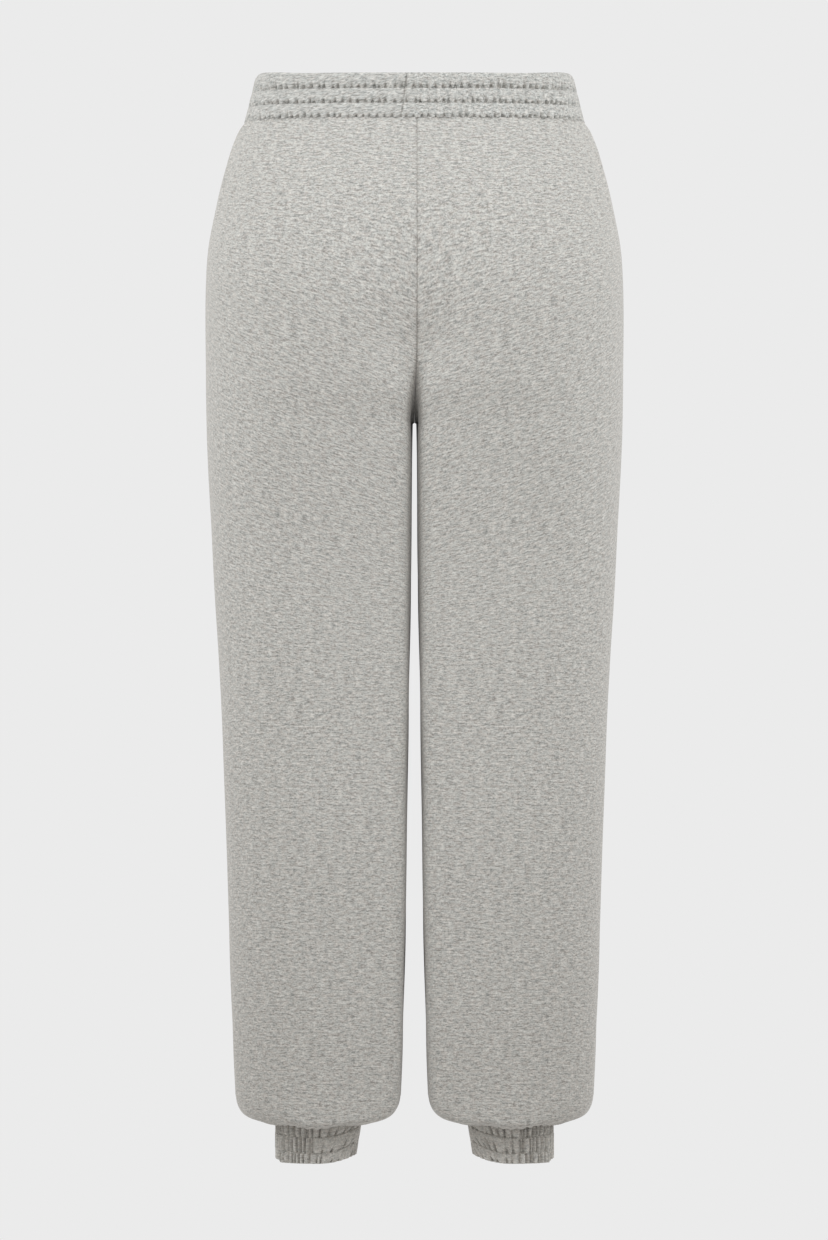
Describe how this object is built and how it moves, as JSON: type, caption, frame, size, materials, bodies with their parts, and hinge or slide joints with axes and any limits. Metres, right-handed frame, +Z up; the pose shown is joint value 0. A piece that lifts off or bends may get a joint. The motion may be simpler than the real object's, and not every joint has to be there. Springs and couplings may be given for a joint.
{
  "type": "jogger sweatpants",
  "caption": "Long sweatpants, filled out in the round: gathered elastic waistband stitched in channels, full seat, straight loose legs that blouse over narrow gathered ankle cuffs.",
  "frame": {"origin": "middle of the waist opening, half way up the waistband, where the wearer's waist holds it", "axes": "+Z up, +Y the way the wearer faces, +X to the wearer's right. The back of the garment faces -Y"},
  "size_m": [0.385, 0.259, 1.0005],
  "materials": {
    "leg_cloth": "heather grey brushed jersey",
    "waist_cloth": "heather grey jersey, gathered",
    "cuff_cloth": "heather grey jersey, gathered"
  },
  "bodies": {
    "root": {"waistband": "waist_cloth", "back_panel_right": "leg_cloth", "back_panel_left": "leg_cloth", "front_panel_right": "leg_cloth", "front_panel_left": "leg_cloth", "cuff_right": "cuff_cloth", "cuff_left": "cuff_cloth"}
  },
  "joints": []
}
